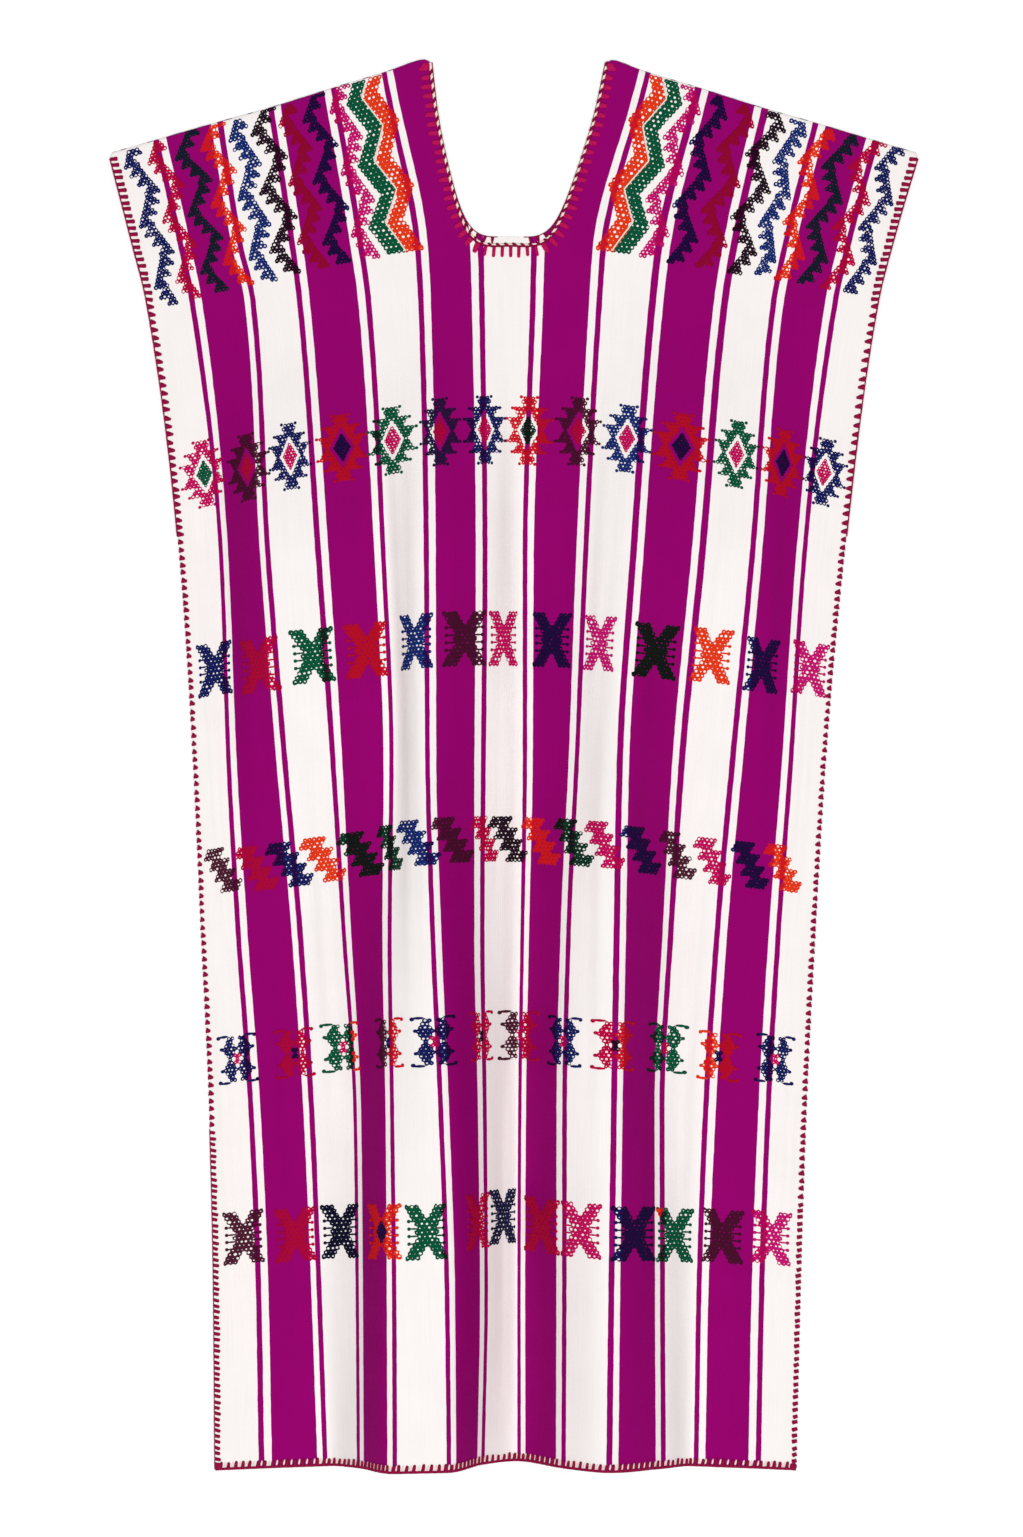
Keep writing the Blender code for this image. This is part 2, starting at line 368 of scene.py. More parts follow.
# ---- materials
class Nodes:
    """A material's node tree, with short ways to add and join nodes."""

    def __init__(self, name, roughness, specular):
        self.material = bpy.data.materials.new(name)
        self.material.use_nodes = True
        self.tree = self.material.node_tree
        self.shader = self.tree.nodes["Principled BSDF"]
        self.feed(self.shader, {"Roughness": roughness, "Specular IOR Level": specular})

    def feed(self, node, values):
        """Gives sockets of a node a number, a colour or another node's output each."""
        for key, value in values.items():
            socket = node.inputs[key]
            if isinstance(value, bpy.types.NodeSocket):
                self.tree.links.new(value, socket)
            else:
                socket.default_value = (*value, 1.0) if socket.type == "RGBA" else value

    def add(self, kind, values=None, **settings):
        node = self.tree.nodes.new(kind)
        for name, value in settings.items():
            setattr(node, name, value)
        self.feed(node, values or {})
        return node

    def place(self):
        return self.add("ShaderNodeUVMap", uv_map="cloth").outputs["UV"]

    def math(self, operation, first, second):
        return self.add("ShaderNodeMath", {0: first, 1: second}, operation=operation).outputs[0]

    def mix(self, share, first, second, blend="MIX"):
        values = {0: share, 6: first, 7: second}
        return self.add("ShaderNodeMix", values, data_type="RGBA", blend_type=blend).outputs[2]

    def noise(self, place, scale, detail=3.0, roughness=0.5):
        values = {"Vector": place, "Scale": scale, "Detail": detail, "Roughness": roughness}
        return self.add("ShaderNodeTexNoise", values).outputs["Fac"]

    def wave(self, place, scale, direction, distortion):
        values = {"Vector": place, "Scale": scale, "Distortion": distortion}
        return self.add("ShaderNodeTexWave", values, bands_direction=direction).outputs["Fac"]

    def stretched(self, place, scales):
        return self.add("ShaderNodeMapping", {"Vector": place, "Scale": scales}).outputs["Vector"]

    def spread(self, value, low, high):
        values = {"Value": value, "To Min": low, "To Max": high}
        return self.add("ShaderNodeMapRange", values).outputs["Result"]

    def dye(self, colour, level=None):
        """Gives the shader its colour, made lighter or darker by level."""
        if level is not None:
            grey = self.add("ShaderNodeCombineColor", dict.fromkeys(range(3), level)).outputs[0]
            colour = self.mix(1.0, colour, grey, "MULTIPLY")
        self.feed(self.shader, {"Base Color": colour})

    def bump(self, height, strength, distance):
        values = {"Height": height, "Strength": strength, "Distance": distance}
        normal = self.add("ShaderNodeBump", values).outputs["Normal"]
        self.feed(self.shader, {"Normal": normal})


STRIPE_WAVER = 0.00045           # metres, to either side
WAVER_SCALES = (30.0, 9.0, 1.0)
STREAK_SCALES = (900.0, 14.0, 1.0)
WARP_RIBS, WEFT_RIBS = 180.0, 150.0
RUMPLE_SCALES = (1.0, 0.45, 1.0)
RUMPLE_HIGH = 5.0                # beside the weave's own height
RELIEF = 0.0002


def stripe_ramp(m, placed, start, width):
    """0 in the white stripes and 1 in the magenta ones, over one part of the web, in metres."""
    share = m.math("DIVIDE", m.math("SUBTRACT", placed, start), width)
    node = m.add("ShaderNodeValToRGB", {0: share})
    node.color_ramp.interpolation = "CONSTANT"
    stops = node.color_ramp.elements
    stops.remove(stops[1])
    edges = STRIPE_EDGES * MM
    for count, edge in enumerate(edges[(edges >= start) & (edges < start + width)]):
        shade = 1.0 - count % 2
        stops.new((edge - start) / width).color = (shade, shade, shade, 1.0)
    return node.outputs[0]


def striped_cotton():
    """Warp-striped plain weave: stripes by place across the web, with slack and tight warp yarns,
    weft ribs and a slow unevenness of the dye."""
    m = Nodes("striped_cotton", 0.9, specular=0.05)
    place = m.place()
    across = m.add("ShaderNodeSeparateXYZ", {0: place}).outputs[0]
    waver = m.noise(m.stretched(place, WAVER_SCALES), 9.0, 2.0)
    placed = m.math("ADD", across, m.spread(waver, -STRIPE_WAVER, STRIPE_WAVER))
    # one ramp can't hold all the stripes, so each half of the web has its own
    half = 0.5 * WEB_WIDTH * MM
    ramps = [stripe_ramp(m, placed, start, half) for start in (0.0, half)]
    stripe = m.mix(m.math("GREATER_THAN", placed, half), *ramps)
    streak = m.noise(m.stretched(place, STREAK_SCALES), 1.0, 4.0, 0.6)
    cloud = m.noise(place, 26.0, 3.0, 0.55)
    tone = m.math("ADD", m.spread(streak, -0.06, 0.06), m.spread(cloud, -0.07, 0.07))
    white = m.mix(m.spread(cloud, 0.0, 1.0), WHITE, WHITE_SHADE)
    magenta = m.mix(m.spread(streak, 0.0, 1.0), MAGENTA, MAGENTA_SHADE)
    m.dye(m.mix(stripe, white, magenta), m.math("ADD", 1.0, tone))
    warp = m.math("MULTIPLY", m.wave(place, WARP_RIBS, "X", 1.2), 0.6)
    weft = m.math("MULTIPLY", m.wave(place, WEFT_RIBS, "Y", 1.0), 0.4)
    rumple = m.noise(m.stretched(place, RUMPLE_SCALES), 60.0, 3.0)
    weave = m.math("ADD", warp, weft)
    m.bump(m.math("ADD", weave, m.math("MULTIPLY", rumple, RUMPLE_HIGH)), 0.4, RELIEF)
    return m.material


def brocade_yarn():
    """Soft twisted brocade yarn whose colour is held by the mesh."""
    m = Nodes("brocade_yarn", 0.85, specular=0.08)
    dye = m.add("ShaderNodeAttribute", attribute_name="yarn").outputs["Color"]
    place = m.place()
    m.dye(dye, m.spread(m.noise(place, 900.0, 2.0, 0.6), 0.72, 1.14))
    m.bump(m.wave(place, 520.0, "DIAGONAL", 2.0), 0.5, 0.75 * RELIEF)
    return m.material


def plied_yarn(name):
    """Plied yarn in one colour, with painted shade that darkens it between its plies."""
    colour, dark = (linear(*tone) for tone in PLIED_YARNS[name])
    m = Nodes(name, 0.8, specular=0.12)
    place = m.place()
    ply = m.wave(place, 160.0, "DIAGONAL", 1.5)
    shade = m.math("MULTIPLY", m.math("ADD", ply, m.noise(place, 420.0, 2.0)), 0.5)
    # painted shade: the ply wave that sinks the bump also darkens the colour in its grooves
    m.dye(m.mix(m.spread(shade, 0.0, 1.0), dark, colour))
    m.bump(ply, 0.6, RELIEF)
    return m.material


# ---- meshes
def add_to_scene(name, data):
    item = bpy.data.objects.new(name, data)
    bpy.context.scene.collection.objects.link(item)
    return item


def make_object(name, material, points, faces, place, colours=None):
    """A mesh object. points are rows of x, y and z; faces an array of corner indices, four a row;
    place is each point's own across and down, for the weave; colours are one for each face."""
    mesh = bpy.data.meshes.new(name)
    mesh.from_pydata((points * MM).tolist(), [], faces.tolist())
    layer = mesh.uv_layers.new(name="cloth")
    layer.uv.foreach_set("vector", (place[faces.ravel()] * MM).astype(np.float32).ravel())
    if colours is not None:
        layer = mesh.color_attributes.new(name="yarn", type="FLOAT_COLOR", domain="CORNER")
        rgba = np.insert(colours, 3, 1.0, axis=1).repeat(faces.shape[1], axis=0)
        layer.data.foreach_set("color", rgba.astype(np.float32).ravel())
    mesh.materials.append(material)
    mesh.shade_smooth()
    mesh.validate()
    return add_to_scene(name, mesh)


def joined(parts):
    """Several lists of arrays as one: points, faces, and anything that goes with them."""
    points, faces, *rest = zip(*parts)
    starts = np.cumsum([0] + [len(p) for p in points[:-1]])
    faces = [face + start for face, start in zip(faces, starts)]
    return [np.concatenate(arrays) for arrays in (points, faces, *rest)]


def quads(index):
    """Four-sided faces over one or more grids of corner numbers."""
    low, high = index[..., :-1, :], index[..., 1:, :]
    corners = low[..., :-1], high[..., :-1], high[..., 1:], low[..., 1:]
    return np.stack(corners, axis=-1).reshape(-1, 4)


def closed(index, axis):
    """Grids of corner numbers that end with their first line again."""
    return np.concatenate([index, index.take([0], axis)], axis)


def smooth_step(share):
    share = np.clip(share, 0.0, 1.0)
    return share ** 2 * (3 - 2 * share)


SIDE_BANDS = {"left": ("W0", "M1", "W2", "M2", "W3"), "right": ("W7", "M6", "W6", "M5", "W5")}
SEGMENTS = {"W": 10, "M": 17}    # the shells' columns in a white band and in a magenta one
NECK_COLUMNS = 14                # between those bands and the slot
NECK_ROWS = 34                   # beside the slot
BODY_ROWS = 190                  # below it


def neck_curve(inset, count):
    """Half of the neck slot from the shoulder fold to its bottom, at even steps."""
    narrower, shallower = inset
    turn = np.linspace(0.0, np.pi / 2, 800)
    share = np.sin(turn) ** (2 / NECK_POWER)
    out = (NECK_TOP - narrower + NECK_SPREAD * share) * np.cos(turn) ** (2 / NECK_POWER)
    down = (NECK_DEPTH - shallower) * share
    run = running(np.hypot(np.diff(out), np.diff(down)))
    marks = np.linspace(0.0, run[-1], count + 1)
    return np.interp(marks, run, out), np.interp(marks, run, down)


def half_panel(side, inset):
    """Distances in from a selvage, and down, for a grid from there to the slot and below it."""
    edges = np.zeros(1)
    for name in SIDE_BANDS[side]:
        count = SEGMENTS[name[0]]
        steps = BANDS[name] * np.arange(1, count + 1) / count
        edges = np.concatenate([edges, edges[-1] + steps])
    middle = NECK_MIDDLE if side == "left" else WEB_WIDTH - NECK_MIDDLE
    out, neck_down = neck_curve(inset, NECK_ROWS)
    slot = middle - out
    near = np.linspace(edges[-1], slot, NECK_COLUMNS + 1, axis=1)[:, 1:]
    inward = np.concatenate([np.tile(edges, (NECK_ROWS + 1, 1)), near], axis=1)
    level = NECK_DEPTH * np.arange(NECK_ROWS + 1) / NECK_ROWS
    down = level[:, None] + (neck_down - level)[:, None] * smooth_step(inward / slot[:, None])
    row = np.arange(1, BODY_ROWS + 1)[:, None]
    body = NECK_DEPTH + (HEM - NECK_DEPTH) * row / BODY_ROWS
    body = body + (down[-1] - NECK_DEPTH) * (1 - row / BODY_ROWS)
    inward = np.concatenate([inward, np.tile(inward[-1], (BODY_ROWS, 1))])
    return inward, np.concatenate([down, body])


def panel_grid(inset):
    """Across and down of a panel's points, and its four-sided faces. Below the slot, the right
    side's last column is the left side's."""
    across, down, faces, count = [], [], [], 0
    for side in SIDE_BANDS:
        inward, levels = half_panel(side, inset)
        own = np.ones(inward.shape, bool)
        own[NECK_ROWS:, -1] = side == "left"
        index = np.zeros(inward.shape, int)
        index[own] = count + np.arange(own.sum())
        if side == "right":
            index[~own] = seam
        seam = index[NECK_ROWS:, -1]
        count += own.sum()
        across.append((inward if side == "left" else WEB_WIDTH - inward)[own])
        down.append(levels[own])
        faces.append(quads(index) if side == "left" else quads(index)[:, ::-1])
    return [np.concatenate(arrays) for arrays in (across, down, faces)]


def open_sides(faces):
    """Sides that only one face has, in that face's direction."""
    sides = [paired(faces[:, k], faces[:, (k + 1) % 4]) for k in range(4)]
    sides = np.concatenate(sides).tolist()
    known = {tuple(side) for side in sides}
    return np.array([(a, b) for a, b in sides if (b, a) not in known])


def cloth_shell(name, low, high, inset, material):
    across, down, faces = panel_grid(inset)
    points = cloth_points(across, down)
    out = cloth_frame(across, down)[2]
    # the walls have corners of their own, so that their edges stay crisp
    sides = open_sides(faces)
    kept, rim = np.unique(sides, return_inverse=True)
    upper = rim.reshape(sides.shape) + 2 * len(points)
    lower = upper + len(kept)
    walls = np.stack([lower[:, 0], lower[:, 1], upper[:, 1], upper[:, 0]], axis=1)
    top, bottom = points + out * high, points + out * low
    place = paired(across, down)
    return make_object(
        name, material,
        np.concatenate([top, bottom, top[kept], bottom[kept]]),
        np.concatenate([faces, faces[:, ::-1] + len(points), walls]),
        np.concatenate([place, place, place[kept], place[kept]]),
    )


# ---- brocade
# A brocaded shape is a net of yarn: rows of small cells, each with the ground showing in its
# middle. Shapes are given in steps of 0.8 mm from a motif's middle, x to the right and y up.
CELL_ACROSS = 4.7
CELL_DOWN = 4.1
HEXAGON = np.array([(0, 2), (-1, 1), (-1, -1), (0, -2), (1, -1), (1, 1)])
CORNERS = HEXAGON * (CELL_ACROSS / 2, CELL_DOWN / 3)
HOLE_CORNERS = HEXAGON * (1.0, 0.5)
NET_LIFT = 0.75
# A corner's share of that lift, by the number of cells that meet there. Where few do, the yarn
# turns down to the cloth and its edge is drawn in.
CREST = np.array([0.0, 0.06, 0.5, 1.0])
RIDGE_LIFT = 0.86         # the yarn's share, between a cell's corner and its hole
RIDGE_AT = 0.42           # where on that way it is, from the corner
SUNK = 0.05               # how far above the cloth the yarn's edges end
CORNER_DRIFT = 0.8        # how much the corners and the holes wander, in steps
HOLE_DRIFT = 0.7
KEY_SCALE = 7.3           # makes whole numbers of places, the same for near ones
HOLE = 0.34               # half of the smallest hole, in steps, and how much the largest adds
HOLE_MORE = 1.2
HOLE_ON_MAGENTA = 0.6     # holes close up over the magenta warp, which hides them
HOLE_IN_DARK = 0.84       # and are smaller in the darkest yarns, which have little red
DARK = 0.02
MOTIF_FINE = 0.85         # the size of the cells in the stars and the eyed motifs
CORE_FINE = 0.72          # and in the stars' cores
CORE_OPEN = 0.84          # the size of the cores' holes
STEPS_FINE = 0.92         # the lightnings' cells and holes likewise
STEPS_OPEN = 0.92


def scatter(key, kind):
    """A steady number from 0 to 1 for each row of whole numbers in key."""
    mixed = np.sin(key[:, 0] * 12.9898 + key[:, 1] * 78.233 + kind * 37.719) * 43758.5453
    return mixed - np.floor(mixed)


def cells_of(inside, half_width, half_height, fine=1.0, shift=0):
    """Middles of the net's cells that lie inside a shape. A shift of 1 starts half a cell along."""
    rows = int(half_height / CELL_DOWN / fine) + 1
    columns = int(half_width / CELL_ACROSS / fine) + 2
    row, column = np.mgrid[-rows:rows + 1, -columns:columns + 1]
    x = (column + 0.5 * ((row + shift) % 2)) * CELL_ACROSS * fine
    spots = paired(x.ravel(), row.ravel() * CELL_DOWN * fine)
    return spots[inside(spots[:, 0], spots[:, 1])]


def around(spots, spread, across, down):
    """Places across and down of spots given in steps from a middle. spread is a step's width."""
    return paired(across + spots[:, 0] * spread, down - spots[:, 1] * STEP)


def net(cells, spread, across, down, colours, seed, fine=1.0, open_share=1.0):
    """Part of the net, around the place across and down: its places, faces, lifts and the faces'
    colours. cells are middles in steps, spread a step's width in mm, and colours one for each
    cell. fine is the cells' size beside the usual one, and open_share that of their holes."""
    count = len(cells)
    corner = (cells[:, None] + CORNERS * fine).reshape(-1, 2)
    key = np.round(corner * KEY_SCALE).astype(int)
    known, first, back, uses = np.unique(
        key, axis=0, return_index=True, return_inverse=True, return_counts=True
    )
    back = back.reshape(count, 6)
    jitter = paired(scatter(known, seed), scatter(known, seed + 1)) - 0.5
    spot = corner[first] + jitter * CORNER_DRIFT * fine
    crest = CREST[uses] * NET_LIFT
    hole = np.round(cells * KEY_SCALE).astype(int)
    size = (HOLE + HOLE_MORE * scatter(hole, seed + 2) ** 2) * fine * open_share
    size *= np.where(on_magenta(across + cells[:, 0] * spread), HOLE_ON_MAGENTA, 1.0)
    size *= np.where(colours[:, 0] < DARK, HOLE_IN_DARK, 1.0)
    jitter = paired(scatter(hole, seed + 3), scatter(hole, seed + 4)) - 0.5
    middle = cells + jitter * HOLE_DRIFT * fine
    inner = middle[:, None] + HOLE_CORNERS * size[:, None, None]
    ridge = RIDGE_AT * inner + (1 - RIDGE_AT) * spot[back]
    spots = np.concatenate([spot, ridge.reshape(-1, 2), inner.reshape(-1, 2)])
    lifts = np.concatenate([crest, np.repeat([NET_LIFT * RIDGE_LIFT, SUNK], 6 * count)])
    ridge_at = len(spot) + np.arange(6 * count).reshape(-1, 6)
    index = np.stack([back, ridge_at, ridge_at + 6 * count], axis=2)
    faces = quads(closed(index, 1))
    return [around(spots, spread, across, down), faces, lifts, colours.repeat(12, axis=0)]


DAB_LIFT = 0.8
DAB_SIDES = 8
DAB_RINGS = ((1.0, 0.0), (0.82, 0.62), (0.45, 0.95), (0.02, 1.0))    # size, and share of the lift


def dabs(middles, radii, spread, across, down, colours):
    """Small rounded floats of yarn: middles and radii in steps, and a colour for each."""
    turns = np.arange(DAB_SIDES) * 2 * np.pi / DAB_SIDES
    circle = paired(np.cos(turns), np.sin(turns))
    count = len(middles) * DAB_SIDES
    spots = [middles[:, None] + circle * radii[:, None] * size for size, _ in DAB_RINGS]
    lifts = np.repeat([SUNK + high * DAB_LIFT for _, high in DAB_RINGS], count)
    index = np.arange(count).reshape(-1, DAB_SIDES, 1) + count * np.arange(len(DAB_RINGS))
    faces = quads(closed(index, 1))
    place = around(np.concatenate(spots).reshape(-1, 2), spread, across, down)
    return [place, faces, lifts, colours.repeat(len(faces) // len(colours), axis=0)]


def brocade_object(name, parts, material):
    place, faces, lifts, colours = joined(parts)
    points = over_cloth(place[:, 0], place[:, 1], lifts)[0]
    return make_object(name, material, points, faces, place, colours)


def star_body(x, y):
    """Three tiers of points on each side, around a bare diamond."""
    x, y = np.abs(x), np.abs(y)
    reach = np.where(y > 12.5, 10.5 + (y - 14.0) * 0.57, 15.0 + y * 0.55)
    reach = np.where(y > 21.5, 4.5 + (y - 24.5) * 0.45, reach)
    return (x < reach) & (y < 33.5) & (x / 13.5 + y / 23.6 > 1.0)


def star_core(x, y):
    return np.abs(x) / 8.2 + np.abs(y) / 14.0 < 1.0


def crossed(x, y):
    """The X, open above and below its middle."""
    x, y = np.abs(x), np.abs(y)
    return (x < 9.7 + y * 0.38) & (x > (y - 13.5) * 0.45) & (y < 27.5)


def cross_core(x, y):
    return np.abs(x) / 7 + np.abs(y) / 12.5 < 1.0


def lightning_cells():
    """Middles of the cells of four leaning steps that descend to the right, three rows to each."""
    row, column = np.mgrid[0:12, 0:5]
    x = (column - 0.5 * (row % 3) + 1.5 * (row // 3) - 3.75) * CELL_ACROSS
    return paired(x.ravel(), (5.5 - row.ravel()) * CELL_DOWN) * STEPS_FINE


def eyed(x, y):
    """A body with horns above and below, around a bare diamond."""
    x, y = np.abs(x), np.abs(y)
    outer = np.where(y < 13, 10.4 + y * 0.4, 12.4 - (y - 13) * 0.06)
    notch = (y - 13.0) * 0.48
    return (y < 24.0) & (x < outer) & (x > notch) & (x / 7.2 + y / 10.8 > 1.0)


def eye(x, y):
    return (np.abs(x) < 3.0) & (np.abs(y) < 5.0)


MOTIF_ROWS = {
    # motif: middle's pixel x and y, pixels wide, yarns
    "stars": (
        (204.7, 474, 44, "rose", "green"), (248, 467.7, 38, "maroon", "crimson"),
        (290, 456.7, 40, "navy", "rose"), (341.8, 448, 48, "red", "navy"),
        (393.2, 440.6, 46, "green", "rose"), (440, 432, 38, "slate", "crimson"),
        (484.5, 430, 38.5, "navy", "rose"), (528, 430.5, 45, "red", "forest"),
        (578.5, 431.5, 43, "maroon", "crimson"), (627, 439, 45, "blue", "rose"),
        (681, 447, 53, "red", "indigo"), (736.5, 454.5, 42, "green", "rose"),
        (782, 463, 39, "red", "indigo"), (823.9, 472.5, 42, "navy", "rose"),
    ),
    "crosses_high": (
        (215, 669, 35, "navy"), (260, 665, 36, "crimson"), (313, 655.5, 42, "green"),
        (367, 650, 42, "red"), (416, 641.5, 29, "blue"), (464, 638.5, 42, "maroon"),
        (502.5, 638.5, 27, "rose"), (552.5, 640, 37, "indigo"), (600.5, 643.5, 29, "pink"),
        (655, 651, 42, "forest"), (711.5, 655.5, 40, "orange"), (761.5, 665, 32, "navy"),
        (810, 668.5, 35, "pink"),
    ),
    "steps": (
        (222, 870, 34, "maroon"), (256, 868, 40, "crimson"), (290, 864, 44, "navy"),
        (324.5, 859, 44, "orange"), (362, 854, 44, "forest"), (391, 848, 26, "forest"),
        (417.5, 843, 38, "blue"), (451, 840, 40, "maroon"), (484, 839, 26, "crimson"),
        (508, 839, 40, "black"), (542, 841, 38, "orange"), (574, 842.5, 38, "forest"),
        (605, 845, 38, "rose"), (640, 850, 38, "navy"), (676, 855, 38, "maroon"),
        (712, 861, 38, "rose"), (750, 865, 38, "indigo"), (783, 868, 38, "orange"),
    ),
    "eyed": (
        (237.5, 1058.6, 40, "navy", "navy", "rose"), (295, 1053, 41, "crimson", "crimson", "navy"),
        (344, 1047, 42, "green", "orange", "rose"), (389, 1043, 27, "maroon", "red", "navy"),
        (435, 1041.5, 44, "navy", "navy", "rose"), (480, 1036, 23, "crimson", "crimson", "black"),
        (520, 1035, 45, "maroon", "crimson", "rose"), (564, 1041.5, 33, "indigo", "navy", "rose"),
        (615, 1045.5, 42, "crimson", "red", "black"), (664, 1048, 42, "green", "green", "rose"),
        (718.5, 1056, 45, "orange", "red", "navy"), (775.4, 1059, 40, "navy", "navy", "rose"),
    ),
    "crosses_low": (
        (243.8, 1237, 39, "maroon"), (296, 1234.6, 40, "crimson"), (342.5, 1231, 38, "ink"),
        (383, 1232, 28, "orange", "navy"), (427.5, 1232, 42, "green"), (476, 1221, 22, "crimson"),
        (502, 1216, 27, "slate"), (542.5, 1225, 34, "crimson"), (581, 1230, 40, "rose"),
        (633, 1234, 40, "indigo"), (673, 1235, 36, "green", "", "orange"),
        (722, 1236, 40, "maroon"), (771.5, 1237.5, 38, "pink"),
    ),
}
MOTIF_WIDTHS = {"stars": 46, "crosses_high": 40, "steps": 42, "eyed": 42, "crosses_low": 40}
BODY_HALF = (26.0, 36.0)    # a motif lies inside this, across and up
TWO_TONE_TURN = 11.0        # where the green and orange eyed motif turns orange
TIPS = {
    # knobs at the ends of points and bars, and the bars: places right of and above the middle
    # in steps, then half sizes. Each is mirrored to the other side and to below.
    "stars": ((23.8, 10.9, 1.8, 1.6), (17.6, 21.3, 1.8, 1.6), (8.2, 32.6, 1.9, 1.7)),
    "crosses": (
        (12.5, 3.6, 4.6, 0.95), (13.2, 11.0, 4.2, 0.95), (17.0, 3.6, 1.9, 1.8),
        (17.2, 11.0, 1.9, 1.8), (19.4, 26.0, 1.6, 1.5),
    ),
    "steps": (),
    "eyed": (
        (13.8, 23.4, 5.4, 1.4), (18.9, 22.5, 2.1, 2.0), (16.4, 11.0, 2.0, 1.8),
    ),
}


def motif_parts(kind, width, across, down, yarns, seed):
    """One motif's net and floats. width is a step's own width on the cloth, in mm."""
    left, right = yarns[:2] if kind == "eyed" else yarns[:1] * 2
    turn = TWO_TONE_TURN if (left, right) == ("green", "orange") else 0.0
    usual = MOTIF_FINE if kind in ("stars", "eyed") else 1.0
    parts = []

    def two_toned(steps):
        left_colour, right_colour = (yarn_colour(y, across + steps * width) for y in (left, right))
        return np.where(steps[:, None] > turn, right_colour, left_colour)

    def lay(cells, yarn=None, fine=1.0, open_share=1.0):
        places = across + cells[:, 0] * width
        colours = yarn_colour(yarn, places) if yarn else two_toned(cells[:, 0])
        parts.append(net(cells, width, across, down, colours, seed, fine, open_share))

    def weave(inside, yarn=None, fine=usual, shift=0, open_share=1.0):
        lay(cells_of(inside, *BODY_HALF, fine, shift), yarn, fine, open_share)

    if kind == "stars":
        weave(star_body, shift=1)
        weave(star_core, yarns[1], CORE_FINE, open_share=CORE_OPEN)
    elif kind == "steps":
        lay(lightning_cells(), fine=STEPS_FINE, open_share=STEPS_OPEN)
    elif kind == "eyed":
        weave(eyed)
        weave(eye, yarns[2], open_share=CORE_OPEN)
    elif len(yarns) == 2:
        weave(lambda x, y: crossed(x, y) & ~cross_core(x, y))
        weave(cross_core, yarns[1])
    elif len(yarns) == 3:    # one corner is worked in another yarn
        weave(lambda x, y: crossed(x, y) & ((x > -13) | (y < 17)))
        weave(lambda x, y: crossed(x, y) & (x <= -13) & (y >= 17), yarns[2])
    else:
        weave(crossed)
    tips = np.array(TIPS[kind.split("_")[0]])
    if len(tips):
        tips = np.concatenate([tips * (sx, sy, 1, 1) for sx in (-1, 1) for sy in (-1, 1)])
        parts.append(dabs(tips[:, :2], tips[:, 2:], width, across, down, two_toned(tips[:, 0])))
    return parts


WIDTH_PROBE = 6.0


def motif_row(kind, material):
    rows = MOTIF_ROWS[kind]
    across, down = on_cloth([row[:2] for row in rows])
    near, far = (seen_at(cloth_points(across + off, down)) for off in (-WIDTH_PROBE, WIDTH_PROBE))
    drawn = np.linalg.norm(far - near, axis=1) / (2 * WIDTH_PROBE)
    parts = []
    for count, row in enumerate(rows):
        width = row[2] / MOTIF_WIDTHS[kind] * STEP / drawn[count]
        parts += motif_parts(kind, width, across[count], down[count], row[3:], 7 * count + 3)
    return brocade_object("brocade_" + kind, parts, material)


# Shoulder brocade: toothed zigzags that run down the cloth beside each other, and two plain
# chevron bands next to the neck. Places across are from each shoulder's own selvage.
ZIGZAG_YARNS = ("navy", "crimson", "teal", "orange", "blue", "black", "garnet", "indigo", "pink")
ZIGZAGS = {
    # middle across, half width, down to the turn nearest the selvage, down from turn to turn
    "left": (
        (19.6, 12.2, 12.5, 27.2), (39.4, 13.7, 14.5, 26.3), (62.1, 14.7, 17.5, 24.7),
        (83.0, 14.0, 15.8, 24.2), (103.9, 11.5, 14.3, 24.6), (122.8, 13.9, 14.4, 23.9),
        (144.7, 13.2, 13.4, 23.3), (165.7, 14.3, 15.2, 23.8), (188.2, 12.2, 14.2, 23.4),
    ),
    "right": (
        (19.2, 12.0, -7.5, 26.9), (38.5, 14.0, -1.6, 26.4), (59.9, 13.2, 4.8, 25.5),
        (79.2, 13.1, 5.5, 25.5), (99.8, 11.0, 9.6, 26.1), (119.4, 14.4, 10.3, 25.2),
        (143.6, 14.1, 13.3, 23.8), (166.8, 13.6, 13.0, 23.9), (189.2, 13.0, 15.0, 23.1),
    ),
}
TEETH = 3                    # in one stroke of a zigzag
TOOTH_CELLS = (2, 3, 4)      # the cells in each row of a tooth: it widens downwards
STROKE_ROWS = TEETH * len(TOOTH_CELLS)
TOOTH_CELL = 3.2
STROKE_WIDE = 12.8
CHEVRONS = {
    # middle across and half width of the green band and of the orange one, the line between them
    "left": ((204.3, 6.6), (218.1, 7.1), 210.9, (9.0, 22.95)),
    "right": ((206.4, 6.6), (219.2, 6.3), 213.0, (10.5, 22.5)),
}
CHEVRON_SWING = 6.3
CHEVRON_ROOM = 24           # steps to either side that a band stays inside
YOKE_END = 127.0
ZIGZAG_ENDS = {"left": (136.2, 0.054), "right": (126.5, 0.0)}   # at the selvage, less this a mm
CHEVRON_END = 123.5


def swing(down, first, half):
    """0 at the turns nearest the selvage and 1 at the others."""
    turn = (down - first) / half / 2
    return 2 * np.abs(turn - np.floor(turn + 0.5))


def toothed(end, half_width, first, half):
    """Middles of the cells of a zigzag of toothed strokes, in mm across and down. Each tooth has
    a level lower side."""
    row = half / STROKE_ROWS
    count = np.arange(np.ceil((-FOLD_REACH - first) / row), np.round((end - first) / row))
    spots = []
    for number in count.astype(int):
        down = first + row * (number + 0.5)
        cells = (np.arange(TOOTH_CELLS[number % len(TOOTH_CELLS)]) + 0.5) * TOOTH_CELL
        slid = -half_width + swing(down, first, half) * (2 * half_width - STROKE_WIDE)
        going_out = (number // STROKE_ROWS) % 2 == 0
        across = slid + STROKE_WIDE - cells if going_out else slid + cells
        spots += [(place, down) for place in across]
    return np.array(spots)


